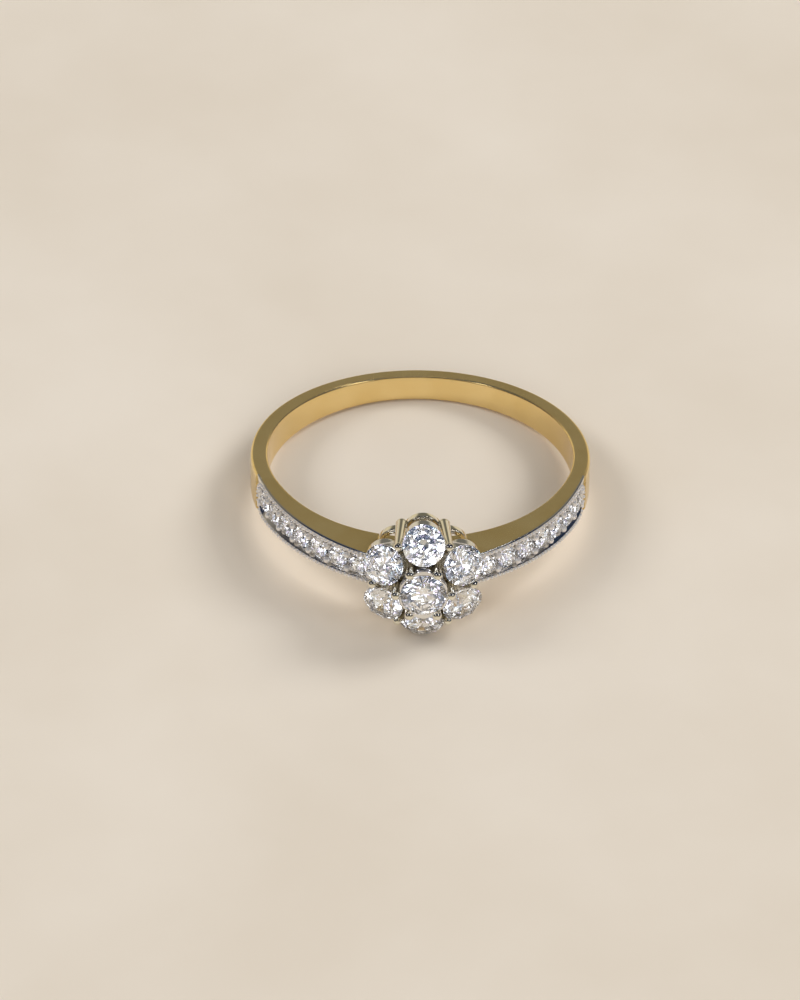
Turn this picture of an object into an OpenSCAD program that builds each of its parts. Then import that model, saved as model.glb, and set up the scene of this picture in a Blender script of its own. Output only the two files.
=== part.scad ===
// Cluster ring: seven round brilliants in a domed flower head, pierced lobed gallery,
// one row of small brilliants on each rising shoulder, plain back.
// Lies on its side on a flat surface. +Z is up, the head points to -Y, and the origin is the
// centre of the finger hole. Millimetres.

/* [Finger hole] */
// Radius of the finger hole
bore_r = 8.5; // [7:0.05:11]

/* [Band] */
// Wall at the back of the band
back_wall = 0.86; // [0.75:0.01:1.6]
// Wall at the sides of the band
side_wall = 0.95; // [0.9:0.01:1.8]
// Full width of the band at the head
front_width = 1.96; // [1.8:0.02:3]
// Full width of the band where it is widest, on the shoulders
wide_width = 2.36; // [2.1:0.02:3.2]
// Angle from the head, around the finger hole, where the band is widest
wide_from = 68; // [50:1:80]
// Full width of the band at the back
back_width = 1.5; // [1.2:0.02:2.2]
// Angle from the head, around the finger hole, where a shoulder starts to rise
shoulder_from = 80; // [70:1:88]
// Radius of a shoulder's outer arc, as a multiple of the band's outer radius
shoulder_flat = 1.275; // [1.2:0.005:1.35]
// Wall of the bridge that passes under the head
bridge_wall = 0.9; // [0.7:0.05:1.1]

/* [Shoulder stones] */
// Girdle diameter of a shoulder stone
pave_d = 1.22; // [1:0.02:1.4]
// Gap between the girdles of two neighbouring shoulder stones
pave_gap = 0.18; // [0.12:0.01:0.3]
// Angle from the head, around the finger hole, of the first shoulder stone
pave_from = 19.8; // [18:0.1:24]
// Depth of the channel that the stones stand in
channel_depth = 0.3; // [0.2:0.01:0.36]
// Width of the flat edge on each side of the channel, at the head
channel_land = 0.16; // [0.1:0.01:0.2]
// Radius of a bead grain between two shoulder stones
grain_r = 0.19; // [0.15:0.01:0.22]

/* [Head] */
// Girdle diameter of the centre stone
centre_d = 2.5; // [2:0.05:3]
// Girdle diameter of a petal stone
petal_d = 2.3; // [1.9:0.05:2.6]
// Gap between the girdles of two neighbouring petal stones
petal_gap = 0.27; // [0.2:0.01:0.5]
// Outward tilt of a petal stone
petal_tilt = 30; // [22:1:36]
// Height of the centre stone's girdle above the finger hole
head_rise = 4.3; // [4.1:0.05:5.5]
// Drop from the centre girdle to the middle of a petal girdle
petal_drop = 1.08; // [0.9:0.02:1.4]
// Length of a petal collet along its own axis
collet_len = 1.06; // [0.9:0.02:1.3]
// Radius of the hole drilled behind a stone of the head
azure_r = 0.62; // [0.4:0.02:0.8]
// Radius of the round ball on a prong's tip
ball_r = 0.255; // [0.2:0.005:0.3]
// Radius of the rounded foot of an outer column
column_foot_r = 0.35; // [0.3:0.01:0.4]
// Height of the straight wall under a petal stone, seen from the side of the head
petal_wall = 0.56; // [0.4:0.02:0.7]

/* [Gallery rail] */
// How far a lobe of the rail reaches from the head's axis
rail_reach = 2.7; // [2.5:0.05:2.9]
// Outer radius of a lobe
rail_lobe_r = 1.08; // [1:0.02:1.2]
// Wall of the rail, seen from the front of the head
rail_wall = 0.3; // [0.25:0.01:0.4]
// Thickness of the rail along the head's axis
rail_thick = 0.42; // [0.25:0.01:0.5]
// Height of the rail's underside above the finger hole
rail_rise = 0.2; // [0.15:0.01:0.4]

/* [Stone cut] */
// Table width as a share of the girdle's diameter
table_share = 0.57; // [0.5:0.01:0.62]
// Crown angle
crown_angle = 34.5; // [30:0.5:38]
// Pavilion angle
pavilion_angle = 40.8; // [38:0.2:44]
// Girdle thickness as a share of the girdle's diameter
girdle_share = 0.035; // [0.02:0.005:0.06]
// Gap between a stone and the metal of its seat
seat_gap = 0.025; // [0.02:0.005:0.05]

/* [Hidden] */
$fn = 96;
over = 0.6;                // overshoot of a cut past the surface it opens
petals = 6;
pave_count = 7;            // stones on each shoulder

// Band
shank_r = bore_r + side_wall;
shank_y = back_wall - side_wall;           // the outer circle's centre sits a little towards the head
shoulder_r = shank_r * shoulder_flat;
shoulder_dip = 0.012;                      // how far the shoulder's arc passes under the shank's circle
shoulder_x = -(shoulder_r - shank_r + shoulder_dip) * sin(shoulder_from);
shoulder_y = shank_y + (shoulder_r - shank_r + shoulder_dip) * cos(shoulder_from);
back_y = shank_r + shank_y;
bridge_r = bore_r + bridge_wall;
wide_y = shank_y - shank_r * cos(wide_from);

// Shoulder row. Angles are around the shoulder arc's own centre, from the direction of the head.
pave_r = pave_d / 2;
pave_step = (pave_d + pave_gap) / shoulder_r * 180 / PI;
// Angle on the shoulder arc of the point that stands at angle t around the finger hole
function arc_angle(t) = t - asin((shoulder_x * cos(t) + shoulder_y * sin(t)) / shoulder_r);
pave_first = arc_angle(pave_from);
function pave_angle(k) = pave_first + k * pave_step;
channel_top = front_width / 2 - channel_land;
pave_sink = pave_d * (1 - table_share) / 2 * tan(crown_angle) + 0.02;   // girdle under the shoulder's surface

// Head. Heights run from the finger hole's centre along -Y.
centre_r = centre_d / 2;
petal_r = petal_d / 2;
centre_h = bore_r + head_rise;
petal_h = centre_h - petal_drop;
petal_ring_r = petal_gap + petal_d * sqrt(pow(cos(petal_tilt) / 2, 2) + 0.75);
collet_r = petal_r - 0.03;
centre_collet_r = centre_r - 0.03;
inner_prong_at = centre_r + ball_r;
inner_prong_h = centre_h + 0.02;
outer_prong_at = petal_ring_r + 0.25;
outer_prong_h = petal_h - 0.03;
rail_h = bore_r + rail_rise;
lobe_at = rail_reach - rail_lobe_r;
neck_r = lobe_at + 0.62;                   // the circle between the lobes
foot_at = neck_r + 0.06;
foot_h = rail_h + 0.15;
room_r = neck_r - 0.34;                    // the room inside the head
wall_r = petal_r - 0.15;
wall_at = petal_ring_r + petal_r * cos(petal_tilt) - 0.11 - wall_r;
wall_top = petal_h - petal_r * sin(petal_tilt) - 0.06;
core_h = petal_h - collet_len * cos(petal_tilt) - 0.12;

// Rest on a flat surface: the back's lower edge and the girdle of the lowest petal stone touch it.
girdle_half = petal_d * girdle_share / 2;
touch_v = petal_ring_r + petal_r * cos(petal_tilt) + girdle_half * sin(petal_tilt);
touch_h = petal_h - petal_r * sin(petal_tilt) + girdle_half * cos(petal_tilt);
rest_tilt = atan((touch_v - back_width / 2) / (touch_h + back_y));

module laid() rotate([-rest_tilt, 0, 0]) children();
// Head frame: x across the head, y along the finger, z away from the finger hole
module in_head() rotate([90, 0, 0]) children();
module at_petal(k)
  in_head() rotate([0, 0, 30 + 60 * k]) translate([petal_ring_r, 0, petal_h]) rotate([0, petal_tilt, 0]) children();
module at_centre() in_head() translate([0, 0, centre_h]) children();
// Frame on a shoulder: z out of the shoulder's surface at angle a, y along the finger
module on_shoulder(side, a, sink = 0)
  mirror([side < 0 ? 1 : 0, 0, 0]) translate([shoulder_x, shoulder_y, 0])
    rotate([90, 0, 0]) rotate([0, a, 0]) translate([0, 0, shoulder_r - sink]) children();

// A round brilliant with its girdle's middle at the origin and its table towards +z
function ring(r, z, turn) = [for (i = [0:7]) [r * cos(45 * i + turn), r * sin(45 * i + turn), z]];
module brilliant(d) {
  r = d / 2;
  g = d * girdle_share / 2;
  table_r = r * table_share / cos(22.5);
  star_r = (table_r * cos(22.5) + r) / 2;
  low_r = r * 0.26;
  table_z = g + (r - table_r) * tan(crown_angle);
  star_z = g + (r - star_r * cos(22.5)) * tan(crown_angle);
  low_z = -g - (r - low_r * cos(22.5)) * tan(pavilion_angle);
  culet_z = -g - r * tan(pavilion_angle);
  // rows of eight points: 0 table, 8 star tips, 16 and 24 upper girdle, 32 and 40 lower girdle, 48 pavilion
  points = concat(ring(table_r, table_z, 0), ring(star_r, star_z, 22.5), ring(r, g, 0), ring(r, g, 22.5),
                  ring(r, -g, 0), ring(r, -g, 22.5), ring(low_r, low_z, 22.5), [[0, 0, culet_z]]);
  faces = concat(
    [[7, 6, 5, 4, 3, 2, 1, 0]],
    [for (i = [0:7]) let (n = (i + 1) % 8) each [
      [i, n, 8 + i],                                   // star
      [n, 16 + n, 8 + i], [n, 8 + n, 16 + n],          // main, in two halves
      [8 + i, 24 + i, 16 + i], [8 + i, 16 + n, 24 + i],  // upper halves
      [16 + i, 24 + i, 40 + i, 32 + i], [24 + i, 16 + n, 32 + n, 40 + i],  // girdle
      [32 + i, 40 + i, 48 + i], [40 + i, 32 + n, 48 + i],  // lower halves
      [32 + n, 56, 48 + i], [32 + n, 48 + n, 56]       // pavilion main, in two halves
    ]]);
  polyhedron(points = points, faces = faces);
}

// The space a stone and its gap take up in the metal, open above the stone
module seat(d, up) {
  r = d / 2 + seat_gap;
  g = d * girdle_share / 2 + seat_gap;
  top = g + (d / 2 - d * table_share / 2) * tan(crown_angle);
  rotate_extrude() polygon([[0, -g - r * tan(pavilion_angle)], [r, -g], [r, g],
                            [d * table_share / 2 + seat_gap, top], [d * table_share / 2 + seat_gap, top + up],
                            [0, top + up]]);
}

// The band seen along the finger: a round shank and two flatter arcs that rise to the head
module band_outline() {
  reach = 4 * bore_r;
  difference() {
    union() {
      translate([0, shank_y]) circle(shank_r);
      intersection() {
        translate([shoulder_x, shoulder_y]) circle(shoulder_r);
        translate([-shoulder_x, shoulder_y]) circle(shoulder_r);
        translate([0, shank_y])
          polygon([[0, 0], [-reach * tan(shoulder_from), -reach], [reach * tan(shoulder_from), -reach]]);
      }
    }
    circle(bore_r);
  }
}
// The band seen from the side: widest on the shoulders, narrower at the head and most at the back
module band_side() {
  front = [-shank_r, front_width / 2];
  wide = [wide_y, wide_width / 2];
  back = [back_y, back_width / 2];
  ahead = front + (front - wide) * 0.5;
  past = back + (back - wide) * 0.2;
  polygon([ahead, wide, past, [past[0], -past[1]], [wide[0], -wide[1]], [ahead[0], -ahead[1]]]);
}
module band() intersection() {
  translate([0, 0, -wide_width]) linear_extrude(2 * wide_width) band_outline();
  rotate([90, 0, 90]) linear_extrude(6 * bore_r, center = true) band_side();
}

// The channel along a shoulder, with a round end past the last stone
module channel(side) {
  last = pave_angle(pave_count - 1);
  slope = (channel_top - pave_r) / channel_depth;
  wall = [[shoulder_r + over, channel_top + over * slope], [shoulder_r - channel_depth, pave_r]];
  mirror([side < 0 ? 1 : 0, 0, 0]) translate([shoulder_x, shoulder_y, 0]) rotate([0, 0, -90])
    rotate_extrude(angle = last, start = 0)
      polygon([wall[0], wall[1], [wall[1][0], -wall[1][1]], [wall[0][0], -wall[0][1]]]);
  on_shoulder(side, last, channel_depth)
    cylinder(h = channel_depth + over, r1 = pave_r, r2 = channel_top + over * slope);
}
module grains(side) {
  for (k = [0:pave_count]) for (y = [-1, 1])
    on_shoulder(side, pave_angle(k - 0.5), 0.14) translate([0, y * (pave_r - grain_r * 0.9), 0]) sphere(grain_r);
}

// The lobed ring at the foot of the head
module lobes(r) for (k = [0:petals - 1]) rotate(30 + 60 * k) translate([lobe_at, 0]) circle(r);
module gallery_rail() in_head() translate([0, 0, rail_h]) linear_extrude(rail_thick) difference() {
  union() { circle(neck_r); lobes(rail_lobe_r); }
  union() { circle(neck_r - rail_wall); lobes(rail_lobe_r - rail_wall); }
}

// A straight round bar from height h0 and radius out0 to h1 and out1, in the plane at angle a of the head
module bar(a, out0, h0, out1, h1, r0, r1) {
  lean = atan((out1 - out0) / (h1 - h0));
  in_head() rotate([0, 0, a]) translate([out0, 0, h0]) rotate([0, lean, 0])
    cylinder(h = (h1 - h0) / cos(lean), r1 = r0, r2 = r1);
}
module prongs() {
  for (k = [0:petals - 1]) {
    bar(60 * k, foot_at, foot_h, outer_prong_at, outer_prong_h, column_foot_r * 0.92, ball_r * 0.92);
    in_head() rotate([0, 0, 60 * k]) translate([foot_at, 0, foot_h]) sphere(column_foot_r);
    in_head() rotate([0, 0, 60 * k]) translate([outer_prong_at, 0, outer_prong_h]) sphere(ball_r);
    bar(60 * k, inner_prong_at - 0.1, core_h, inner_prong_at, inner_prong_h, ball_r * 0.9, ball_r * 0.9);
    in_head() rotate([0, 0, 60 * k]) translate([inner_prong_at, 0, inner_prong_h]) sphere(ball_r);
  }
}
module collets() {
  for (k = [0:petals - 1]) {
    at_petal(k) translate([0, 0, -collet_len]) cylinder(h = collet_len - 0.03, r = collet_r);
    in_head() rotate([0, 0, 30 + 60 * k]) translate([wall_at, 0, wall_top - petal_wall])
      cylinder(h = petal_wall, r = wall_r);
  }
  in_head() translate([0, 0, core_h]) cylinder(h = centre_h - 0.04 - core_h, r = centre_collet_r);
}
// The holes drilled behind the stones of the head
module azures() {
  for (k = [0:petals - 1])
    at_petal(k) translate([0, 0, -collet_len - over]) cylinder(h = collet_len, r = azure_r);
  in_head() translate([0, 0, core_h - over]) cylinder(h = centre_h - core_h, r = azure_r);
}

// All the soldered metal
module band_and_setting() color([0.80, 0.69, 0.45]) laid() difference() {
  union() {
    difference() {
      band();
      // room inside the head above the bridge
      in_head() translate([0, 0, bridge_r]) cylinder(h = centre_h, r = room_r);
      for (side = [-1, 1]) channel(side);
    }
    for (side = [-1, 1]) grains(side);
    gallery_rail();
    difference() {
      union() { collets(); prongs(); }
      azures();
    }
  }
  cylinder(h = 8 * wide_width, r = bore_r, center = true);
  for (k = [0:petals - 1]) at_petal(k) seat(petal_d, over);
  at_centre() seat(centre_d, over);
  for (side = [-1, 1], k = [0:pave_count - 1]) on_shoulder(side, pave_angle(k), pave_sink) seat(pave_d, over);
}

// Stones
module cut_stone() color([0.93, 0.95, 0.98, 0.6]) laid() children();
module petal_stone(k) cut_stone() at_petal(k) brilliant(petal_d);
module shoulder_stone(side, k) cut_stone() on_shoulder(side, pave_angle(k), pave_sink) brilliant(pave_d);
module centre_stone() cut_stone() at_centre() brilliant(centre_d);
module petal_stone_1() petal_stone(0);
module petal_stone_2() petal_stone(1);
module petal_stone_3() petal_stone(2);
module petal_stone_4() petal_stone(3);
module petal_stone_5() petal_stone(4);
module petal_stone_6() petal_stone(5);
module left_stone_1() shoulder_stone(-1, 0);
module left_stone_2() shoulder_stone(-1, 1);
module left_stone_3() shoulder_stone(-1, 2);
module left_stone_4() shoulder_stone(-1, 3);
module left_stone_5() shoulder_stone(-1, 4);
module left_stone_6() shoulder_stone(-1, 5);
module left_stone_7() shoulder_stone(-1, 6);
module right_stone_1() shoulder_stone(1, 0);
module right_stone_2() shoulder_stone(1, 1);
module right_stone_3() shoulder_stone(1, 2);
module right_stone_4() shoulder_stone(1, 3);
module right_stone_5() shoulder_stone(1, 4);
module right_stone_6() shoulder_stone(1, 5);
module right_stone_7() shoulder_stone(1, 6);

band_and_setting();
centre_stone();
petal_stone_1();
petal_stone_2();
petal_stone_3();
petal_stone_4();
petal_stone_5();
petal_stone_6();
left_stone_1();
left_stone_2();
left_stone_3();
left_stone_4();
left_stone_5();
left_stone_6();
left_stone_7();
right_stone_1();
right_stone_2();
right_stone_3();
right_stone_4();
right_stone_5();
right_stone_6();
right_stone_7();
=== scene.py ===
import itertools
import math
import random

import bmesh
import bpy
import numpy as np
from mathutils import Matrix, Vector

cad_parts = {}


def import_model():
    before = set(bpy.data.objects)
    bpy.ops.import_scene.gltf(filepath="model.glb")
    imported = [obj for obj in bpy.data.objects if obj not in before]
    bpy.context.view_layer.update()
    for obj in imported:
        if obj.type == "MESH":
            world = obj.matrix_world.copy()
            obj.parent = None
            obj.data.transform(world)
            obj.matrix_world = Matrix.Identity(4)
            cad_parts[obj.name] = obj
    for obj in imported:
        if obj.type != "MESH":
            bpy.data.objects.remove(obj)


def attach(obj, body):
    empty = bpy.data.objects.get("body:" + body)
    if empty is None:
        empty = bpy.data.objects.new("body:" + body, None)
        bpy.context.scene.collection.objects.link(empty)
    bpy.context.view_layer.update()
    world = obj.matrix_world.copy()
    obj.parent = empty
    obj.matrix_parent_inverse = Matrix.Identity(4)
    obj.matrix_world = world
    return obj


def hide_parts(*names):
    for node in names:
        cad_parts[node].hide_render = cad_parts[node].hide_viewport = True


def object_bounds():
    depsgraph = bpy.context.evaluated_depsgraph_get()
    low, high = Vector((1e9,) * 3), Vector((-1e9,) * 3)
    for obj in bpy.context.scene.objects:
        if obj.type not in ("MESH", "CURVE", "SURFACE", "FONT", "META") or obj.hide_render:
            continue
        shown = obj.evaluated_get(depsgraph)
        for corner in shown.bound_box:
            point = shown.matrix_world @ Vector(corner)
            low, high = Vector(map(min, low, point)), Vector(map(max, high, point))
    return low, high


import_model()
bpy.context.view_layer.update()
CAD_LOW, CAD_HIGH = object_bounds()


def sind(t):
    return math.sin(math.radians(t))


def cosd(t):
    return math.cos(math.radians(t))


def tand(t):
    return math.tan(math.radians(t))


def rot(axis, deg):
    return np.array(Matrix.Rotation(math.radians(deg), 3, axis))


# ---------------------------------------------------------------- sizes as in the CAD source
# Millimetres and degrees. The finger hole's centre is the origin and the head points to -Y.
BORE_R = 8.5
BACK_WALL, SIDE_WALL = 0.86, 0.95
FRONT_HALF, WIDE_HALF, BACK_HALF = 0.98, 1.18, 0.75         # half the band's width
WIDE_FROM, SHOULDER_FROM = 68.0, 80.0                       # angles from the head
SHOULDER_FLAT, SHOULDER_DIP = 1.275, 0.012
BRIDGE_R = 9.4
PAVE_D, PAVE_GAP, PAVE_FROM, PAVE_COUNT = 1.22, 0.18, 19.8, 7
PAVE_UNDER = 0.02                                           # table under the shoulder's surface
CHANNEL_DEPTH, GRAIN_R = 0.3, 0.19
CENTRE_D, PETAL_D, PETAL_GAP, PETAL_TILT = 2.5, 2.3, 0.27, 30.0
HEAD_RISE, PETAL_DROP = 4.3, 1.08
COLLET_LEN, COLLET_IN, AZURE_R = 1.06, 0.03, 0.62
BALL_R, FOOT_R = 0.255, 0.35                                # prong tips, columns' feet
INNER_UP, OUTER_OUT, OUTER_UNDER = 0.02, 0.25, 0.03         # prong balls from the girdles
# the straight walls under the petal stones, and the core under the centre stone
WALL_LONG, WALL_IN, WALL_EDGE, WALL_UNDER, CORE_UNDER = 0.56, 0.15, 0.11, 0.06, 0.12
# the gallery rail: six lobes joined by a neck, the columns' feet on it, and the room inside
RAIL_REACH, LOBE_R, RAIL_WALL, RAIL_THICK, RAIL_RISE = 2.7, 1.08, 0.3, 0.42, 0.2
NECK_OUT, FOOT_OUT, FOOT_UP, ROOM_IN = 0.62, 0.06, 0.15, 0.34
TABLE_SHARE, CROWN, PAVILION, GIRDLE_SHARE, SEAT_GAP = 0.57, 34.5, 40.8, 0.035, 0.025

# the band: two circles, the outer one a little nearer the head, and a flatter arc on each side
SHANK_R = BORE_R + SIDE_WALL
SHANK_Y = BACK_WALL - SIDE_WALL
BACK_Y = SHANK_R + SHANK_Y
WIDE_Y = SHANK_Y - SHANK_R * cosd(WIDE_FROM)
SHOULDER_R = SHANK_R * SHOULDER_FLAT
SHOULDER_X = -(SHOULDER_R - SHANK_R + SHOULDER_DIP) * sind(SHOULDER_FROM)
SHOULDER_Y = SHANK_Y + (SHOULDER_R - SHANK_R + SHOULDER_DIP) * cosd(SHOULDER_FROM)

# the shoulder row: angles are around the shoulder arc's own centre
PAVE_R = PAVE_D / 2
PAVE_STEP = math.degrees((PAVE_D + PAVE_GAP) / SHOULDER_R)
PAVE_SINK = PAVE_D * (1 - TABLE_SHARE) / 2 * tand(CROWN) + PAVE_UNDER
PAVE_FIRST = PAVE_FROM - math.degrees(
    math.asin((SHOULDER_X * cosd(PAVE_FROM) + SHOULDER_Y * sind(PAVE_FROM)) / SHOULDER_R))
PAVE_LAST = PAVE_FIRST + (PAVE_COUNT - 1) * PAVE_STEP

# the head: heights run from the finger hole's centre along -Y
CENTRE_R, PETAL_R = CENTRE_D / 2, PETAL_D / 2
CENTRE_H = BORE_R + HEAD_RISE
PETAL_H = CENTRE_H - PETAL_DROP
PETAL_RING = PETAL_GAP + PETAL_D * math.sqrt((cosd(PETAL_TILT) / 2) ** 2 + 0.75)
INNER_AT, INNER_H = CENTRE_R + BALL_R, CENTRE_H + INNER_UP
OUTER_AT, OUTER_H = PETAL_RING + OUTER_OUT, PETAL_H - OUTER_UNDER
RAIL_H = BORE_R + RAIL_RISE
LOBE_AT = RAIL_REACH - LOBE_R
NECK_R = LOBE_AT + NECK_OUT
FOOT_AT, FOOT_H = NECK_R + FOOT_OUT, RAIL_H + FOOT_UP
ROOM_X = NECK_R - ROOM_IN
ROOM_A = math.degrees(math.asin((ROOM_X - SHOULDER_X) / SHOULDER_R))
WALL_R = PETAL_R - WALL_IN
WALL_AT = PETAL_RING + PETAL_R * cosd(PETAL_TILT) - WALL_EDGE - WALL_R
WALL_TOP = PETAL_H - PETAL_R * sind(PETAL_TILT) - WALL_UNDER
CORE_H = PETAL_H - COLLET_LEN * cosd(PETAL_TILT) - CORE_UNDER

# the ring lies on the back of its band and on the lowest petal stone's girdle
GIRDLE_HALF = PETAL_D * GIRDLE_SHARE / 2
TOUCH_V = PETAL_RING + PETAL_R * cosd(PETAL_TILT) + GIRDLE_HALF * sind(PETAL_TILT)
TOUCH_H = PETAL_H - PETAL_R * sind(PETAL_TILT) + GIRDLE_HALF * cosd(PETAL_TILT)
REST_TILT = math.degrees(math.atan((TOUCH_V - BACK_HALF) / (TOUCH_H + BACK_Y)))
FLOOR_Z = CAD_LOW[2]
LAID = rot("X", -REST_TILT)
HEAD = rot("X", 90)

# ---------------------------------------------------------------- sizes that only this script has
WIDTH_BLEND = 0.012                     # softens the crest between the band's two tapers
RISE_FROM, RISE_TO = 74, 86             # where a shoulder's arc passes into the shank
INNER_ROUND, OUTER_ROUND = 0.13, 0.17   # the band's rounded edges
BRIDGE_FLAT, BRIDGE_END = 7.5, 8.6      # half angle of the bridge's flat, and of its end
# a white gold insert: the ledge that it stands on, the trough under it, the edge beside that
LEDGE, LEDGE_UNDER, TROUGH, TROUGH_RIM = 0.18, 0.19, 0.86, 0.15
PLATE_FROM, PLATE_PAST = 21.7, 1.17     # its first angle, and how far it runs past the last stone
PLATE_TO = PAVE_LAST + math.degrees(PLATE_PAST / SHOULDER_R)
LAND_DEPTH, RIM, BEVEL = 0.07, 0.27, 0.09
SEAT_FOOT = 0.625                       # half the width of the floor that the seats are cut in
SEAT_HOLE = PAVE_R + SEAT_GAP - (
    CHANNEL_DEPTH - PAVE_SINK - PAVE_D * GIRDLE_SHARE / 2 - SEAT_GAP) / tand(PAVILION)
SEAT_TIP = CHANNEL_DEPTH + SEAT_HOLE * tand(PAVILION)
BEAD_R, BEAD_PITCH, BEAD_INSET, BEAD_SHIFT = 0.105, 0.27, 0.175, 0.012
BEADS_PAST = 3.2                        # where the beads start, past the insert's first angle
GRAIN_DEPTH = 0.14
COLLET_ROUND, RAIL_ROUND, RAIL_LEAST = 0.07, 0.045, 0.22
SADDLES = [(12.73, 0.30), (12.42, 0.24)]    # height and reach of the steps beside the centre stone
SADDLE_R, SADDLE_HALF, SADDLE_SHORT = 1.2, 24, 0.45

MM = 0.001                              # millimetres to metres
METAL = "band_and_setting"
SHARP = 35.0                            # an edge that turns more than this isn't smoothed
WELD, SLIVER = 1e-4, 1e-5


# ---------------------------------------------------------------- mesh helpers
class Shape:
    """Points and faces in the ring's own frame, in millimetres."""

    def __init__(self):
        self.points, self.faces, self.count = [], [], 0

    def add(self, points, faces):
        points = np.asarray(points, float).reshape(-1, 3)
        self.points.append(points)
        self.faces += [tuple(i + self.count for i in f) for f in faces]
        self.count += len(points)

    def grid(self, rows, wrap_rows=False, wrap_cols=False):
        rows = np.asarray(rows, float)
        n, m = rows.shape[:2]
        faces = []
        for i in range(n if wrap_rows else n - 1):
            for j in range(m if wrap_cols else m - 1):
                a, b = i * m + j, i * m + (j + 1) % m
                c, d = ((i + 1) % n) * m + (j + 1) % m, ((i + 1) % n) * m + j
                faces.append((a, b, c, d))
        self.add(rows, faces)

    def cap(self, loop):
        self.add(loop, [tuple(range(len(loop)))])


def revolve(shape, profile, place, sides):
    """Closed profile of (radius, height) turned about z; place maps it into the ring's frame."""
    ang = np.linspace(0, 2 * math.pi, sides, endpoint=False)
    rows = [[place((r * math.cos(t), r * math.sin(t), z)) for r, z in profile] for t in ang]
    shape.grid(rows, wrap_rows=True, wrap_cols=True)


def spin(shape, profile, place, sides):
    """Open profile from axis to axis turned about z, poles as fans."""
    ang = np.linspace(0, 2 * math.pi, sides, endpoint=False)
    body = profile[1:-1]
    points = [place((0, 0, profile[0][1])), place((0, 0, profile[-1][1]))]
    for t in ang:
        points += [place((r * math.cos(t), r * math.sin(t), z)) for r, z in body]
    m, faces = len(body), []
    for i in range(sides):
        a, b = 2 + i * m, 2 + ((i + 1) % sides) * m
        faces += [(0, b, a), (1, a + m - 1, b + m - 1)]
        faces += [(a + j, b + j, b + j + 1, a + j + 1) for j in range(m - 1)]
    shape.add(points, faces)


def ball(shape, centre, radius, sides, rings, up=(0, 0, 1)):
    turn = np.array(Vector(up).normalized().to_track_quat("Z", "Y").to_matrix())
    turns = [math.pi * i / rings for i in range(rings + 1)]
    profile = [(radius * math.sin(t), -radius * math.cos(t)) for t in turns]
    centre = np.asarray(centre, float)
    spin(shape, profile, lambda p: centre + turn @ np.array(p), sides)


def add_object(name, data):
    obj = bpy.data.objects.new(name, data)
    bpy.context.scene.collection.objects.link(obj)
    return obj


def show(name, mesh, material, node):
    """Makes a mesh a piece of the ring, in place of a CAD node."""
    mesh.materials.append(material)
    piece = add_object(name, mesh)
    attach(piece, "root")
    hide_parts(node)


def build(shape, name, material, sharp=SHARP):
    """Turns a Shape into a piece of the soldered metal."""
    points = np.vstack(shape.points) @ LAID.T
    mesh = bpy.data.meshes.new(name)
    mesh.from_pydata(points.tolist(), [], shape.faces)
    bm = bmesh.new()
    bm.from_mesh(mesh)
    bmesh.ops.remove_doubles(bm, verts=bm.verts, dist=WELD)
    bmesh.ops.dissolve_degenerate(bm, edges=bm.edges, dist=SLIVER)
    bmesh.ops.recalc_face_normals(bm, faces=bm.faces)
    for f in bm.faces:
        f.smooth = True
    for e in bm.edges:
        e.smooth = len(e.link_faces) == 2 and e.calc_face_angle(0) < math.radians(sharp)
    bmesh.ops.scale(bm, vec=(MM,) * 3, verts=bm.verts)
    bm.to_mesh(mesh)
    bm.free()
    show(name, mesh, material, METAL)


# ---------------------------------------------------------------- materials
def new_material(name):
    m = bpy.data.materials.new(name)
    m.use_nodes = True
    nodes, links = m.node_tree.nodes, m.node_tree.links
    nodes.clear()
    out = nodes.new("ShaderNodeOutputMaterial")
    shader = nodes.new("ShaderNodeBsdfPrincipled")
    links.new(shader.outputs[0], out.inputs[0])
    return m, nodes, links, shader


def noise(nodes, links, scale, detail, stretch=(1, 1, 1)):
    """Noise over the object's own coordinates, scale in cells a metre."""
    where = nodes.new("ShaderNodeTexCoord")
    mapping = nodes.new("ShaderNodeMapping")
    mapping.inputs["Scale"].default_value = stretch
    tex = nodes.new("ShaderNodeTexNoise")
    tex.inputs["Scale"].default_value = scale
    tex.inputs["Detail"].default_value = detail
    tex.inputs["Roughness"].default_value = 0.55
    links.new(where.outputs["Object"], mapping.inputs["Vector"])
    links.new(mapping.outputs["Vector"], tex.inputs["Vector"])
    return tex.outputs["Fac"]


def ramp(nodes, links, source, low, high):
    """Passes from one (position, colour) stop to the other."""
    node = nodes.new("ShaderNodeValToRGB")
    for element, (at, colour) in zip(node.color_ramp.elements, (low, high)):
        element.position = at
        element.color = (*colour, 1)
    links.new(source, node.inputs["Fac"])
    return node.outputs["Color"]


def map_range(nodes, links, source, span=(0.0, 1.0), onto=(0.0, 1.0), smooth=False):
    node = nodes.new("ShaderNodeMapRange")
    node.interpolation_type = "SMOOTHSTEP" if smooth else "LINEAR"
    for label, value in zip(("From Min", "From Max", "To Min", "To Max"), (*span, *onto)):
        node.inputs[label].default_value = value
    links.new(source, node.inputs["Value"])
    return node.outputs["Result"]


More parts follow.
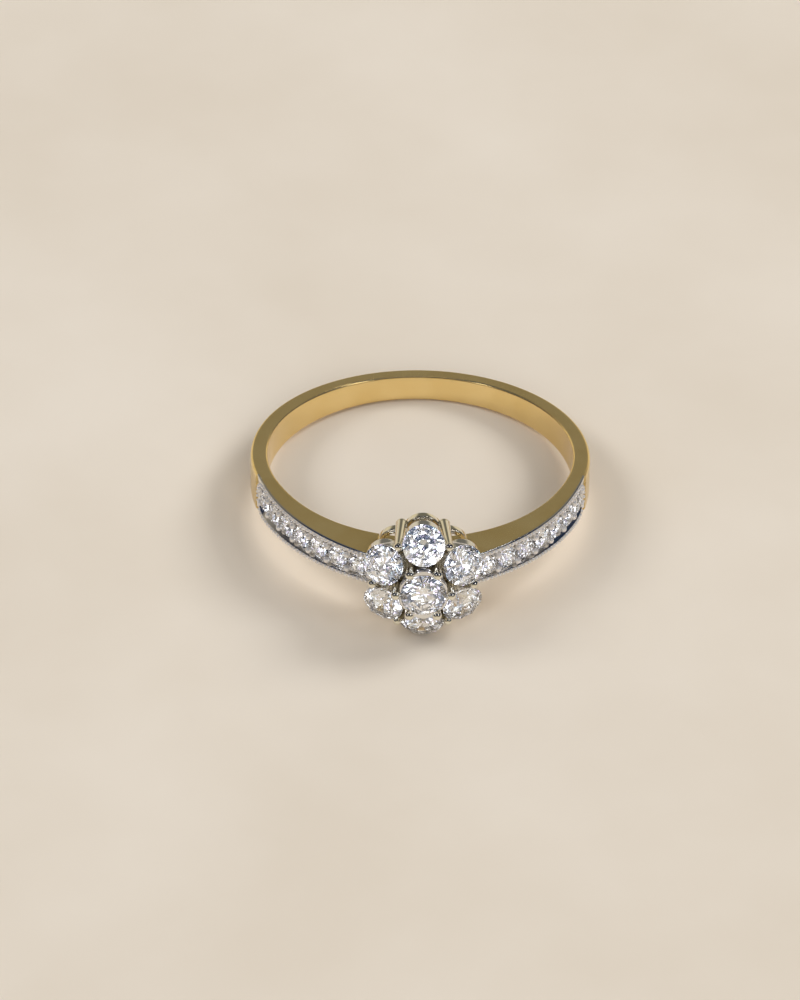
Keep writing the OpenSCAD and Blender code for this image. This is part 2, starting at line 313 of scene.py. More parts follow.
def metal(name, light, deep, rough, scratch, metallic=1.0):
    """Polished metal with cloudy tone, uneven polish and fine scratches."""
    m, nodes, links, shader = new_material(name)
    shader.inputs["Metallic"].default_value = metallic
    tone = noise(nodes, links, scale=420, detail=4)
    links.new(ramp(nodes, links, tone, (0.30, deep), (0.62, light)), shader.inputs["Base Color"])
    wear = noise(nodes, links, scale=1500, detail=5)
    links.new(map_range(nodes, links, wear, span=(0.35, 0.68), onto=rough),
              shader.inputs["Roughness"])
    fine = noise(nodes, links, scale=5200, detail=2, stretch=(1, 1, 0.12))
    soft = noise(nodes, links, scale=650, detail=2)
    add = nodes.new("ShaderNodeMath")
    add.operation = "MULTIPLY_ADD"
    add.inputs[1].default_value = 0.25
    links.new(fine, add.inputs[0])
    links.new(soft, add.inputs[2])
    bump = nodes.new("ShaderNodeBump")
    bump.inputs["Strength"].default_value = scratch
    bump.inputs["Distance"].default_value = 0.00001
    links.new(add.outputs[0], bump.inputs["Height"])
    links.new(bump.outputs["Normal"], shader.inputs["Normal"])
    return m


def clear_stone():
    m, nodes, links, shader = new_material("clear_stone")
    shader.inputs["Transmission Weight"].default_value = 1.0
    shader.inputs["IOR"].default_value = 2.42
    shader.inputs["Roughness"].default_value = 0.0
    body = noise(nodes, links, scale=900, detail=2)
    colour = ramp(nodes, links, body, (0.35, (0.985, 0.99, 1.0)), (0.65, (1.0, 1.0, 1.0)))
    links.new(colour, shader.inputs["Base Color"])
    return m


def floor_material():
    m, nodes, links, shader = new_material("pale_stone_floor")
    cloud = noise(nodes, links, scale=42, detail=4)
    colour = ramp(nodes, links, cloud, (0.35, (0.80, 0.695, 0.56)), (0.65, (0.86, 0.76, 0.63)))
    links.new(colour, shader.inputs["Base Color"])
    shader.inputs["Roughness"].default_value = 0.55
    shader.inputs["Specular IOR Level"].default_value = 0.3
    return m


YELLOW = metal("yellow_gold", light=(0.92, 0.70, 0.32), deep=(0.85, 0.62, 0.25),
               rough=(0.13, 0.24), scratch=0.5, metallic=0.85)
WHITE = metal("white_gold", light=(0.86, 0.85, 0.83), deep=(0.78, 0.77, 0.75),
              rough=(0.09, 0.18), scratch=0.4, metallic=0.98)
PALE = metal("pale_gold", light=(0.92, 0.88, 0.76), deep=(0.85, 0.81, 0.68),
             rough=(0.04, 0.09), scratch=0.25)
BEADED = metal("beaded_white_gold", light=(0.97, 0.94, 0.93), deep=(0.90, 0.87, 0.86),
               rough=(0.26, 0.38), scratch=0.4, metallic=0.68)
STONE = clear_stone()


# ---------------------------------------------------------------- the band
def half_width(y):
    """Half the band's width: two straight tapers that meet in a softened crest at WIDE_Y."""
    ahead = FRONT_HALF + (WIDE_HALF - FRONT_HALF) * (y + SHANK_R) / (WIDE_Y + SHANK_R)
    behind = WIDE_HALF + (BACK_HALF - WIDE_HALF) * (y - WIDE_Y) / (BACK_Y - WIDE_Y)
    k = WIDTH_BLEND
    low = np.minimum(ahead, behind)
    return low - k * np.log(np.exp(-(ahead - low) / k) + np.exp(-(behind - low) / k))


def reach(t, cx, cy, r):
    """How far the circle (cx, cy, r) is from the finger hole's centre at angle t."""
    along = sind(t) * cx - cosd(t) * cy
    return along + math.sqrt(r * r - cx * cx - cy * cy + along * along)


def outer_at(t):
    """Radius of the band's outer surface at angle t from the head, on the right side."""
    shank = reach(t, 0, SHANK_Y, SHANK_R)
    if t > RISE_TO:
        return shank
    shoulder = reach(t, SHOULDER_X, SHOULDER_Y, SHOULDER_R)
    if t < RISE_FROM:
        return shoulder
    s = (t - RISE_FROM) / (RISE_TO - RISE_FROM)
    s = s * s * (3 - 2 * s)
    return shoulder * (1 - s) + shank * s


def surface(side, a, depth, z):
    """A point on a shoulder: arc angle a, depth under its surface, and z along the finger."""
    r = SHOULDER_R - depth
    return (side * (SHOULDER_X + r * sind(a)), SHOULDER_Y - r * cosd(a), z)


def arc_turn(length, depth):
    """The arc angle that a length takes up at a depth under a shoulder's surface."""
    return length / (SHOULDER_R - depth) * 180 / math.pi


def shoulder_half(a):
    """Half the band's width at arc angle a, taken just under the shoulder's surface."""
    return float(half_width(surface(1, a, 0.1, 0)[1]))


def finger_angle(a):
    """Angle around the finger hole of the point at angle a on a shoulder's arc."""
    x, y, _ = surface(1, a, 0, 0)
    return math.degrees(math.atan2(x, -y))


def band_stations():
    """(inner point, outer point, whether an insert sits there) all the way round the band."""
    def bore(t):
        return (BORE_R * sind(t), -BORE_R * cosd(t))

    head, end = finger_angle(ROOM_A), finger_angle(PLATE_TO)
    flat = [(bore(t), (BRIDGE_R * tand(t) * 0.95, -BRIDGE_R), False)
            for t in np.linspace(-BRIDGE_FLAT, BRIDGE_FLAT, 11)]
    right = [(bore(BRIDGE_END), (ROOM_X, -BRIDGE_R), False)]
    for first, last, count, seated in ((head, end, 46, True), (end + 0.02, 180, 78, False)):
        for t in np.linspace(first, last, count):
            r = outer_at(t)
            right.append((bore(t), (r * sind(t), -r * cosd(t)), seated))
    left = [((-inner[0], inner[1]), (-outer[0], outer[1]), seated)
            for inner, outer, seated in reversed(right[:-1])]
    return flat + right + left


def band():
    shape, rows = Shape(), []
    for inner, outer, seated in band_stations():
        inner, outer = np.array(inner), np.array(outer)
        wall = np.linalg.norm(outer - inner)
        along = (outer - inner) / wall

        def at(d, from_side=None, share=None):
            """The point d out from the bore, by its distance from the side or its share."""
            p = inner + along * d
            w = float(half_width(p[1]))
            return (p[0], p[1], w - from_side if share is None else w * share)

        half = [at(0, share=s) for s in (0.0, 0.3, 0.6)]
        half += [at(INNER_ROUND * (1 - math.cos(u)), INNER_ROUND * (1 - math.sin(u)))
                 for u in np.linspace(0, math.pi / 2, 6)]
        half += [at(INNER_ROUND + (wall - INNER_ROUND - OUTER_ROUND) * s, 0) for s in (0.33, 0.66)]
        if seated:
            # seven points close together, so that the rows match those with a rounded edge
            half += [at(wall - LEDGE - 0.004 * (6 - k), 0.0) for k in range(7)]
            half += [at(wall - LEDGE, TROUGH_RIM), at(wall - TROUGH, TROUGH_RIM + 0.01),
                     at(wall - TROUGH, share=0.0)]
        else:
            ro = min(OUTER_ROUND, wall * 0.3)
            half += [at(wall - ro * (1 - math.sin(u)), ro * (1 - math.cos(u)))
                     for u in np.linspace(0, math.pi / 2, 7)]
            half += [at(wall, share=s) for s in (0.6, 0.3, 0.0)]
        low = [(x, y, -z) for x, y, z in half[1:-1]]
        rows.append(half + low[::-1])
    shape.grid(rows, wrap_rows=True, wrap_cols=True)
    build(shape, "shank", YELLOW, sharp=28)


# ---------------------------------------------------------------- a shoulder's white insert
HALF_STEP = PAVE_STEP / 2
SEAT_STEPS = 6
TURNS = np.linspace(math.pi / 2, -math.pi / 2, 2 * SEAT_STEPS + 13)[1:-1]   # past the last stone
ACROSS = np.linspace(SEAT_FOOT, -SEAT_FOOT, 9)


def insert_arcs():
    """The arc angles of the insert's sections, up to the last stone."""
    arcs = list(np.linspace(PLATE_FROM, PAVE_FIRST - HALF_STEP, 6))[:-1]
    for k in range(PAVE_COUNT):
        a0 = PAVE_FIRST + (k - 1) * PAVE_STEP + HALF_STEP
        arcs += list(np.linspace(a0, a0 + PAVE_STEP, 2 * SEAT_STEPS + 1))[:-1]
    return [a for a in arcs if a < PAVE_LAST - 1e-6] + [PAVE_LAST]


def insert_profile(w, edge):
    """(depth, distance from the row's middle) from the floor over the rim to the underside.

    w is half the band's width there, and edge is how far out the insert's own edge stands."""
    slope, foot = SEAT_FOOT + (w - RIM - SEAT_FOOT) * 0.52, w - TROUGH_RIM - 0.03
    spec = [(CHANNEL_DEPTH, SEAT_FOOT), (0.20, slope), (LAND_DEPTH + 0.02, w - RIM - 0.012),
            (LAND_DEPTH, w - RIM + 0.012), (LAND_DEPTH, edge - BEVEL)]
    spec += [(LAND_DEPTH + BEVEL * (1 - cosd(u)), edge - BEVEL * (1 - sind(u)))
             for u in (18, 36, 54, 72, 90)]
    return spec + [(LEDGE_UNDER, edge), (LEDGE_UNDER + 0.01, edge - 0.02),
                   (LEDGE_UNDER + 0.01, foot), (TROUGH - 0.02, foot)]


def straight_section(side, a, sign):
    w = shoulder_half(a)
    return [surface(side, a, d, sign * z) for d, z in insert_profile(w, w)]


def end_section(side, phi):
    """A section at angle phi around the last stone, out to the insert's straight end."""
    w, past = shoulder_half(PAVE_LAST), shoulder_half(PAVE_LAST + arc_turn(0.5, 0))
    edge = min(PLATE_PAST / max(abs(math.cos(phi)), 1e-9), past / max(abs(math.sin(phi)), 1e-9))
    out = []
    for d, r in insert_profile(w, edge):
        s, z = r * math.cos(phi), r * math.sin(phi)
        a = PAVE_LAST + arc_turn(s, d)
        if abs(z) > shoulder_half(a) - 1e-6 and r > w * 0.9:
            z = math.copysign(shoulder_half(a), z)
        out.append(surface(side, a, d, z))
    return out


def seat(shape, side, k):
    """The conical seat under stone k, in its piece of the channel's floor."""
    middle = PAVE_FIRST + k * PAVE_STEP
    last = k == PAVE_COUNT - 1
    left, right = middle - HALF_STEP, middle if last else middle + HALF_STEP
    count = (SEAT_STEPS if last else 2 * SEAT_STEPS) + 1
    edge = [(a, SEAT_FOOT) for a in np.linspace(left, right, count)]
    if last:
        edge += [(PAVE_LAST + arc_turn(SEAT_FOOT * math.cos(p), CHANNEL_DEPTH),
                  SEAT_FOOT * math.sin(p)) for p in TURNS]
    else:
        edge += [(right, z) for z in ACROSS[1:-1]]
    edge += [(a, -SEAT_FOOT) for a in np.linspace(right, left, count)]
    edge += [(left, z) for z in ACROSS[::-1][1:-1]]
    rays = []
    for a, z in edge:
        s = math.radians(a - middle) * (SHOULDER_R - CHANNEL_DEPTH)
        d = math.hypot(s, z)
        rays.append((s / d, z / d))
    rows = [[surface(side, a, CHANNEL_DEPTH, z) for a, z in edge]]
    for share, depth in ((1.03, CHANNEL_DEPTH), (1.0, CHANNEL_DEPTH + 0.012),
                         (0.5, (CHANNEL_DEPTH + SEAT_TIP) / 2), (0.06, SEAT_TIP - 0.03)):
        r = SEAT_HOLE * share
        rows.append([surface(side, middle + arc_turn(r * u, depth), depth, r * v)
                     for u, v in rays])
    shape.grid(rows, wrap_cols=True)
    shape.cap(rows[-1])


def insert(side, name):
    shape, arcs = Shape(), insert_arcs()
    columns = [straight_section(side, a, 1) for a in arcs]
    columns += [end_section(side, p) for p in TURNS]
    columns += [straight_section(side, a, -1) for a in reversed(arcs)]
    shape.grid(columns)
    # the underside, and the end that runs into the head
    n, under = len(arcs), [column[-1] for column in columns]
    shape.grid([under[:n], under[::-1][:n]])
    shape.cap(under[n - 1:n + len(TURNS) + 1])
    shape.cap(list(columns[0]) + list(columns[-1])[::-1])
    # the plain floor ahead of the first stone
    start = sum(1 for a in arcs if a < PAVE_FIRST - HALF_STEP - 1e-6)
    shape.grid([[surface(side, a, CHANNEL_DEPTH, z) for z in ACROSS] for a in arcs[:start + 1]])
    for k in range(PAVE_COUNT):
        seat(shape, side, k)
    build(shape, name, WHITE, sharp=40)


def milgrain(side, name):
    """The row of tiny beads on the rim of a shoulder's channel, and the grains by its stones."""
    shape = Shape()
    rng = random.Random(7 if side > 0 else 11)
    edge = [(a, shoulder_half(a) - BEAD_INSET)
            for a in np.linspace(PLATE_FROM + BEADS_PAST, PAVE_LAST, 200)]
    w = edge[-1][1]
    path = edge + [(PAVE_LAST + arc_turn(w * math.cos(p), 0), w * math.sin(p))
                   for p in np.linspace(math.pi / 2, -math.pi / 2, 60)[1:-1]]
    path += [(a, -z) for a, z in reversed(edge)]
    pts = np.array([surface(side, a, LAND_DEPTH + 0.005, z) for a, z in path])
    run = np.concatenate([[0], np.cumsum(np.linalg.norm(np.diff(pts, axis=0), axis=1))])
    for d in np.linspace(0.1, run[-1] - 0.1, int(run[-1] / BEAD_PITCH)):
        d += rng.uniform(-BEAD_SHIFT, BEAD_SHIFT)
        c = [np.interp(d, run, pts[:, i]) for i in range(3)]
        ball(shape, c, BEAD_R * rng.uniform(0.93, 1.04), sides=12, rings=8)
    for k in range(PAVE_COUNT + 1):
        for way in (-1, 1):
            a = PAVE_FIRST + (k - 0.5) * PAVE_STEP
            c = surface(side, a, GRAIN_DEPTH, way * (PAVE_R - GRAIN_R * 0.9))
            ball(shape, c, GRAIN_R * rng.uniform(0.95, 1.0), sides=16, rings=10)
    build(shape, name, BEADED)


# ---------------------------------------------------------------- the head
def in_head(p):
    return HEAD @ np.asarray(p, float)


def place_petal(k):
    turn, tilt = rot("Z", 30 + 60 * k), rot("Y", PETAL_TILT)
    shift = np.array((PETAL_RING, 0, PETAL_H))
    return lambda p: in_head(turn @ (shift + tilt @ np.asarray(p, float)))


def place_centre(p):
    return in_head(np.asarray(p, float) + np.array((0, 0, CENTRE_H)))


def collet_profile(outer, d, bottom):
    """Section of a stone's collet: rounded foot, wall, chamfered lip, seat, and the hole behind."""
    g = d * GIRDLE_SHARE / 2 + SEAT_GAP
    seat_r = d / 2 + SEAT_GAP
    rim = -g - (seat_r - outer) * tand(PAVILION)
    mouth = -g - (seat_r - AZURE_R) * tand(PAVILION)
    b = COLLET_ROUND
    foot = [(outer - b * (1 - math.cos(u)), bottom + b * (1 - math.sin(u)))
            for u in np.linspace(math.pi / 2, 0, 5)]
    lip = [(outer, rim - 0.05), (outer - 0.008, rim - 0.02), (outer - 0.03, rim - 0.012),
           (outer - 0.06, rim - 0.045)]
    hole = [(AZURE_R + 0.02, mouth + 0.015), (AZURE_R, mouth - 0.02), (AZURE_R, bottom + 0.03)]
    return [(AZURE_R + 0.03, bottom)] + foot + [(outer, bottom + (rim - bottom) * 0.5)] + lip + hole


def petal_wall(shape, k):
    """The straight wall under a petal stone, open where the hole behind the stone cuts it."""
    turn = rot("Z", 30 + 60 * k)
    base = WALL_TOP - WALL_LONG
    levels = [(base, WALL_R - 0.03), (base + 0.01, WALL_R - 0.009), (base + 0.03, WALL_R)]
    levels += [(h, WALL_R) for h in np.linspace(base + 0.12, WALL_TOP - 0.02, 5)]
    sides = 72
    outer, inner, hole = [], [], []
    for h, wide in levels:
        # the hole is a slanting cylinder: an ellipse off the wall's middle at each level
        off = WALL_AT - (PETAL_RING + (h - PETAL_H) * tand(PETAL_TILT))
        semi = AZURE_R / cosd(PETAL_TILT)
        out_row, in_row, open_row = [], [], []
        for t in np.linspace(0, 360, sides, endpoint=False):
            c, q = cosd(t), sind(t)
            a, b = (c / semi) ** 2 + (q / AZURE_R) ** 2, off * c / semi ** 2
            r = (-b + math.sqrt(max(b * b - a * ((off / semi) ** 2 - 1), 0))) / a
            open_row.append(r >= wide)
            for row, radius in ((out_row, wide), (in_row, min(r, wide))):
                row.append(in_head(turn @ np.array((WALL_AT + radius * c, radius * q, h))))
        outer.append(out_row)
        inner.append(in_row)
        hole.append(open_row)
    n = len(levels)
    faces = []
    for j in range(sides):
        m = (j + 1) % sides
        if not (hole[0][j] and hole[0][m]):
            faces.append((j, m, n * sides + m, n * sides + j))
        for i in range(n - 1):
            if hole[i][j] and hole[i][m] and hole[i + 1][j] and hole[i + 1][m]:
                continue
            wall = (i * sides + j, i * sides + m, (i + 1) * sides + m, (i + 1) * sides + j)
            faces += [wall, tuple(v + n * sides for v in wall)]
    shape.add(np.vstack([np.array(outer).reshape(-1, 3), np.array(inner).reshape(-1, 3)]), faces)


def collets():
    shape = Shape()
    for k in range(6):
        profile = collet_profile(PETAL_R - COLLET_IN, PETAL_D, -COLLET_LEN)
        revolve(shape, profile, place_petal(k), sides=64)
        petal_wall(shape, k)
    profile = collet_profile(CENTRE_R - COLLET_IN, CENTRE_D, CORE_H - CENTRE_H)
    revolve(shape, profile, place_centre, sides=64)
    # two steps between each pair of inner prongs, long only above and below the centre stone
    for k, (height, long) in itertools.product(range(6), SADDLES):
        if k not in (1, 4):
            long *= SADDLE_SHORT
        rows = []
        for t in np.linspace(-SADDLE_HALF, SADDLE_HALF, 17):
            wide = 0.02 + long * math.sqrt(max(1 - (t / (SADDLE_HALF + 0.5)) ** 2, 0))
            out = SADDLE_R + 0.02 + wide
            # flat above and below, with a chamfer along the outer edge
            loop = [(SADDLE_R, -0.05), (SADDLE_R, 0.05), (out - 0.02, 0.05), (out, 0.03),
                    (out, -0.03), (out - 0.02, -0.05)]
            a = 60 * k + 30 + t
            rows.append([in_head((r * cosd(a), r * sind(a), height + z)) for r, z in loop])
        shape.grid(rows, wrap_cols=True)
        shape.cap(rows[0])
        shape.cap(rows[-1])
    build(shape, "stone_collets", WHITE)


def rail_radius(phi, r, neck):
    """Radius at phi of six lobes of radius r, joined by a circle of radius neck."""
    d = (phi - 30) % 60
    d = d - 60 if d > 30 else d
    s = LOBE_AT * sind(d)
    return max(neck, LOBE_AT * cosd(d) + math.sqrt(r * r - s * s) if abs(s) < r else 0)


def rail():
    shape, rows = Shape(), []
    b, low, high = RAIL_ROUND, RAIL_H, RAIL_H + RAIL_THICK
    for phi in np.arange(0, 360, 1.5):
        out = rail_radius(phi, LOBE_R, NECK_R)
        inn = min(rail_radius(phi, LOBE_R - RAIL_WALL, NECK_R - RAIL_WALL), out - RAIL_LEAST)
        loop = []
        for cx, cz, a0 in ((out - b, low + b, -90), (out - b, high - b, 0),
                           (inn + b, high - b, 90), (inn + b, low + b, 180)):
            loop += [(cx + b * cosd(a0 + u), cz + b * sind(a0 + u))
                     for u in (0, 22.5, 45, 67.5, 90)]
        rows.append([in_head((r * cosd(phi), r * sind(phi), z)) for r, z in loop])
    shape.grid(rows, wrap_rows=True, wrap_cols=True)
    build(shape, "gallery_rail", PALE, sharp=50)


def prongs():
    shape = Shape()

    def bar(angle, r0, h0, r1, h1, thick0, thick1):
        """A tapered round bar between two points of (radius, height) at an angle."""
        lean = math.degrees(math.atan2(r1 - r0, h1 - h0))
        length = math.hypot(r1 - r0, h1 - h0)
        turn, tilt, shift = rot("Z", angle), rot("Y", lean), np.array((r0, 0, h0))
        steps = [(thick0 + (thick1 - thick0) * s, length * s) for s in np.linspace(0, 1, 9)]
        spin(shape, [(0, 0)] + steps + [(0, length)],
             lambda p: in_head(turn @ (shift + tilt @ np.asarray(p, float))), sides=32)

    def knob(angle, r, h, radius):
        centre = in_head(rot("Z", angle) @ np.array((r, 0, h)))
        ball(shape, centre, radius, sides=32, rings=20, up=(0, -1, 0))

    # each bar is a little slimmer than the ball at its end
    for angle in range(0, 360, 60):
        bar(angle, FOOT_AT, FOOT_H, OUTER_AT, OUTER_H, FOOT_R * 0.97, BALL_R * 0.92)
        knob(angle, FOOT_AT, FOOT_H, FOOT_R)
        bar(angle, INNER_AT - 0.1, CORE_H, INNER_AT, INNER_H, BALL_R * 0.9, BALL_R * 0.9)
        knob(angle, OUTER_AT, OUTER_H, BALL_R)
        knob(angle, INNER_AT, INNER_H, BALL_R)
    build(shape, "prongs", PALE)


# ---------------------------------------------------------------- stones
def brilliant_planes():
    """(point, outward normal) of each facet of a round brilliant of girdle diameter 1."""
    r, g = 0.5, GIRDLE_SHARE / 2
    table_r = r * TABLE_SHARE / cosd(22.5)
    star_r = (table_r * cosd(22.5) + r) / 2
    low_r = r * 0.26                    # how near the axis the lower girdle facets reach
    table_z = g + (r - table_r) * tand(CROWN)
    star_z = g + (r - star_r * cosd(22.5)) * tand(CROWN)
    low_z = -g - (r - low_r * cosd(22.5)) * tand(PAVILION)
    culet_z = -g - r * tand(PAVILION)

    def at(radius, z, t):
        return Vector((radius * cosd(t), radius * sind(t), z))

    planes = [(at(0, table_z, 0), Vector((0, 0, 1)))]
    for t in range(0, 360, 45):
        table, next_table = at(table_r, table_z, t), at(table_r, table_z, t + 45)
        star, low = at(star_r, star_z, t + 22.5), at(low_r, low_z, t + 22.5)
        top, top_mid, top_end = at(r, g, t), at(r, g, t + 22.5), at(r, g, t + 45)
        under, under_mid, under_end = at(r, -g, t), at(r, -g, t + 22.5), at(r, -g, t + 45)
        for a, b, c in ((table, next_table, star), (table, top, star), (star, top_mid, top),
                        (star, top_mid, top_end), (under, under_mid, low),
                        (under_end, under_mid, low), (under, at(0, culet_z, 0), low)):
            n = (b - a).cross(c - a).normalized()
            planes.append((a, -n if n.dot(a) < 0 else n))
    return planes, culet_z - 0.1, table_z + 0.1


def unit_brilliant(sides=64):
    """Points, faces and their smoothness: a round bar cut by the brilliant's facet planes."""
    planes, low_end, high_end = brilliant_planes()
    bm = bmesh.new()
    low = [bm.verts.new((0.5 * cosd(360 * i / sides), 0.5 * sind(360 * i / sides), low_end))
           for i in range(sides)]
    high = [bm.verts.new((v.co.x, v.co.y, high_end)) for v in low]
    bm.faces.new(low[::-1])
    bm.faces.new(high)
    for i in range(sides):
        j = (i + 1) % sides
        bm.faces.new((low[i], low[j], high[j], high[i]))
    for point, normal in planes:
        cut = bmesh.ops.bisect_plane(bm, geom=bm.verts[:] + bm.edges[:] + bm.faces[:], dist=1e-7,
                                     plane_co=point, plane_no=normal, clear_outer=True)
        edges = [e for e in cut["geom_cut"] if isinstance(e, bmesh.types.BMEdge) and e.is_boundary]
        if len(edges) > 2:
            bmesh.ops.contextual_create(bm, geom=edges)
    bmesh.ops.remove_doubles(bm, verts=bm.verts, dist=1e-6)
    bmesh.ops.recalc_face_normals(bm, faces=bm.faces)
    bm.verts.index_update()
    points = np.array([v.co[:] for v in bm.verts])
    faces = [tuple(v.index for v in f.verts) for f in bm.faces]
    smooth = [abs(f.normal.z) < 0.02 for f in bm.faces]         # only the girdle
    bm.free()
    return points, faces, smooth


def place_pave(side, k):
    turn = HEAD @ rot("Y", PAVE_FIRST + k * PAVE_STEP)
    base, lift = np.array((SHOULDER_X, SHOULDER_Y, 0)), np.array((0, 0, SHOULDER_R - PAVE_SINK))
    mirror = np.array((side, 1, 1))
    return lambda p: mirror * (base + turn @ (lift + np.asarray(p, float) * mirror))


def stones():
    points, faces, smooth = unit_brilliant()
    rng = random.Random(5)

    def make(name, node, d, place, turn):
        placed = np.array([LAID @ place(rot("Z", turn) @ (p * d)) for p in points]) * MM
        mesh = bpy.data.meshes.new(name)
        mesh.from_pydata(placed.tolist(), [], faces)
        mesh.polygons.foreach_set("use_smooth", smooth)
        mesh.set_sharp_from_angle(angle=math.radians(12))
        show(name, mesh, STONE, node)

    make("centre_brilliant", "centre_stone", CENTRE_D, place_centre, 10)
    for k in range(6):
        make(f"petal_brilliant_{k + 1}", f"petal_stone_{k + 1}", PETAL_D, place_petal(k),
             rng.uniform(0, 45))
    for side, word in ((-1, "left"), (1, "right")):
        for k in range(PAVE_COUNT):
            make(f"{word}_brilliant_{k + 1}", f"{word}_stone_{k + 1}", PAVE_D,
                 place_pave(side, k), rng.uniform(0, 45))


band()
insert(1, "right_shoulder_insert")
insert(-1, "left_shoulder_insert")
milgrain(1, "right_shoulder_milgrain")
milgrain(-1, "left_shoulder_milgrain")
collets()
rail()
prongs()
stones()


# ---------------------------------------------------------------- floor, light, camera
def floor(half=2.0):
    mesh = bpy.data.meshes.new("floor")
    corners = [(-half, -half), (half, -half), (half, half), (-half, half)]
    mesh.from_pydata([(x, y, FLOOR_Z) for x, y in corners], [], [(0, 1, 2, 3)])
    obj = add_object("floor", mesh)
    mesh.materials.append(floor_material())


def direction(azimuth, elevation):
    """Azimuth from -Y (the camera's side) towards +X."""
    return (sind(azimuth) * cosd(elevation), -cosd(azimuth) * cosd(elevation), sind(elevation))


# soft lights: azimuth, elevation, size in metres, power in watts, colour
LIGHT_DISTANCE = 0.8
LIGHTS = {
    "key_right": (112, 42, 0.34, 3.0, (0.93, 0.96, 1.0)),
    "key_left": (-96, 44, 0.34, 2.0, (0.93, 0.96, 1.0)),
    "fill_front": (12, 32, 0.3, 1.5, (0.98, 0.98, 1.0)),
}


def area(name, azimuth, elevation, size, power, colour):
    data = bpy.data.lights.new(name, "AREA")
    data.shape = "SQUARE"
    data.size = size
    data.energy = power
    data.color = colour
    obj = add_object(name, data)
    d = Vector(direction(azimuth, elevation))
    obj.location = d * LIGHT_DISTANCE
    obj.rotation_mode = "QUATERNION"
    obj.rotation_quaternion = d.to_track_quat("Z", "Y")
    obj.visible_glossy = False


floor()
for light_name, light in LIGHTS.items():
    area(light_name, *light)

# the room that the metal and the stones mirror
BASE = (0.20, 0.18, 0.15)
DARKEST = (0.006, 0.018, 0.045)
BACKDROP = (0.78, 0.72, 0.65, 1)                # seen only by the camera, past the floor's edge
# darker areas: azimuth, elevation, inner and outer angle, colour added
SHADES = [
    (0, 44, 10, 18, (-0.19, -0.17, -0.13)),
    (0, 88, 42, 52, (-0.19, -0.17, -0.13)),
    (180, 28, 14, 36, (-0.04, -0.03, -0.03)),
    (88, 22, 22, 34, (-0.19, -0.17, -0.13)),
    (-88, 22, 22, 34, (-0.19, -0.17, -0.13)),
    (128, 14, 13, 20, (-0.19, -0.17, -0.13)),
]
# brighter areas, and three small lamps: azimuth, elevation, inner and outer angle, colour added
LAMPS = [
    (0, -6, 28, 38, (0.40, 0.36, 0.26)),
    (180, 74, 9, 15, (0.45, 0.42, 0.36)),
    (-148, 4, 14, 26, (0.50, 0.44, 0.31)),
    (157, 2, 11, 19, (0.52, 0.46, 0.33)),
    (60, 46, 6, 9, (4.2, 4.2, 4.4)),
    (-60, 46, 4, 7, (4.2, 4.2, 4.4)),
    (150, 54, 1.8, 3, (9, 8.6, 8)),
]
# small panels that only light which has passed through a stone meets, so that the facets sparkle
GLITTER, HUE_SPREAD = (0.85, 0.95, 1.12), (2.0, 1.9, 2.3)
CELL_SCALE, CELL_EDGE, HUE_SCALE = 8.0, (0.50, 0.66), 5.0
GLITTER_AREA = (0, 34, 74, 96)
CALM_AREA, CALM_SHARE = (0, 42, 18, 30), 0.12   # fewer of them, where the tables mirror
STONE_FILL = (0.035, 0.06, 0.095)
FLOOR_FILL = (0.14, 0.14, 0.138)


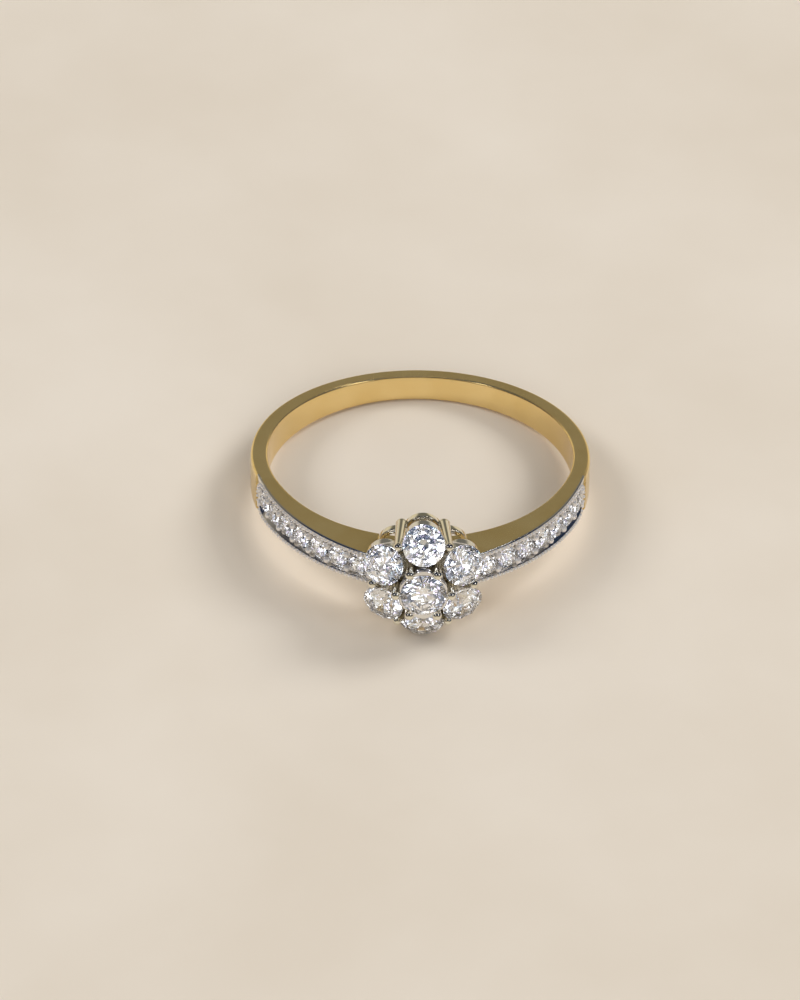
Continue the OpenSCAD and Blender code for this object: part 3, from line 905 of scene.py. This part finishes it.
def world():
    w = bpy.data.worlds.new("studio")
    bpy.context.scene.world = w
    w.use_nodes = True
    nodes, links = w.node_tree.nodes, w.node_tree.links
    nodes.clear()

    def feed(kind, values, **options):
        """The outputs of a new node, with its options set and its inputs set or linked."""
        node = nodes.new(kind)
        for option, value in options.items():
            setattr(node, option, value)
        for key, value in values.items():
            if isinstance(value, bpy.types.NodeSocket):
                links.new(value, node.inputs[key])
            else:
                node.inputs[key].default_value = value
        return node.outputs

    def vector(operation, *values):
        return feed("ShaderNodeVectorMath", dict(enumerate(values)), operation=operation)[0]

    def scaled(colour, share):
        return feed("ShaderNodeVectorMath", {0: colour, "Scale": share}, operation="SCALE")[0]

    def patch(azimuth, elevation, inner, outer):
        """1 within the inner angle of a direction, falling softly to 0 at the outer one."""
        dot = feed("ShaderNodeVectorMath", {0: unit, 1: direction(azimuth, elevation)},
                   operation="DOT_PRODUCT")
        return map_range(nodes, links, dot["Value"], span=(cosd(outer), cosd(inner)), smooth=True)

    unit = vector("NORMALIZE", feed("ShaderNodeTexCoord", {})["Generated"])
    path = feed("ShaderNodeLightPath", {})
    total = BASE
    for *where, colour in SHADES:
        total = vector("ADD", total, scaled(colour, patch(*where)))
    total = vector("MAXIMUM", total, DARKEST)
    for *where, colour in LAMPS:
        total = vector("ADD", total, scaled(colour, patch(*where)))
    cells = feed("ShaderNodeTexNoise", {"Vector": unit, "Scale": CELL_SCALE, "Detail": 1.0})
    share = map_range(nodes, links, cells["Fac"], span=CELL_EDGE, smooth=True)
    calm = map_range(nodes, links, patch(*CALM_AREA), onto=(1.0, CALM_SHARE))
    for factor in (patch(*GLITTER_AREA), calm, path["Is Transmission Ray"]):
        share = feed("ShaderNodeMath", {0: share, 1: factor}, operation="MULTIPLY")[0]
    hues = feed("ShaderNodeTexNoise", {"Vector": unit, "Scale": HUE_SCALE})
    glitter = vector("ADD", vector("MULTIPLY", hues["Color"], HUE_SPREAD), GLITTER)
    total = vector("ADD", total, scaled(glitter, share))
    total = vector("ADD", total, scaled(STONE_FILL, path["Is Transmission Ray"]))
    total = vector("ADD", total, scaled(FLOOR_FILL, path["Is Diffuse Ray"]))
    room = feed("ShaderNodeBackground", {"Color": total})[0]
    plain = feed("ShaderNodeBackground", {"Color": BACKDROP})[0]
    mix = feed("ShaderNodeMixShader", {0: path["Is Camera Ray"], 1: room, 2: plain})
    feed("ShaderNodeOutputWorld", {0: mix[0]})


world()

# the camera, as fitted to the photograph in the ring's own frame: millimetres and degrees
FOCAL, PHOTO_HEIGHT, SENSOR = 6278.4, 1000, 36              # pixels, pixels, millimetres
DISTANCE, ELEVATION, YAW, ROLL = 350.0, 32.417, 1.344, 0.98
AIM_RIGHT, AIM_UP = -1.118, -1.765


def camera():
    data = bpy.data.cameras.new("camera")
    data.sensor_width = SENSOR
    data.lens = FOCAL / PHOTO_HEIGHT * SENSOR
    data.clip_start, data.clip_end = 0.01, 10
    laid = Matrix(LAID.tolist())
    place = laid @ Vector((-DISTANCE * cosd(ELEVATION) * sind(YAW),
                           -DISTANCE * cosd(ELEVATION) * cosd(YAW), DISTANCE * sind(ELEVATION)))
    along = -place.normalized()
    right = along.cross(laid @ Vector((0, 0, 1))).normalized()
    up = right.cross(along)
    right, up = right * cosd(ROLL) + up * sind(ROLL), up * cosd(ROLL) - right * sind(ROLL)
    along = (AIM_RIGHT * right + AIM_UP * up - place).normalized()
    right = (right - along * right.dot(along)).normalized()
    up = right.cross(along)
    turn = Matrix((right, up, -along)).transposed()
    obj = add_object("camera", data)
    obj.matrix_world = Matrix.Translation(place * MM) @ turn.to_4x4()
    bpy.context.scene.camera = obj


camera()

scene = bpy.context.scene
scene.view_settings.view_transform = "Standard"
scene.cycles.max_bounces = 24
scene.cycles.glossy_bounces = 16
scene.cycles.transmission_bounces = 24

bpy.context.view_layer.update()
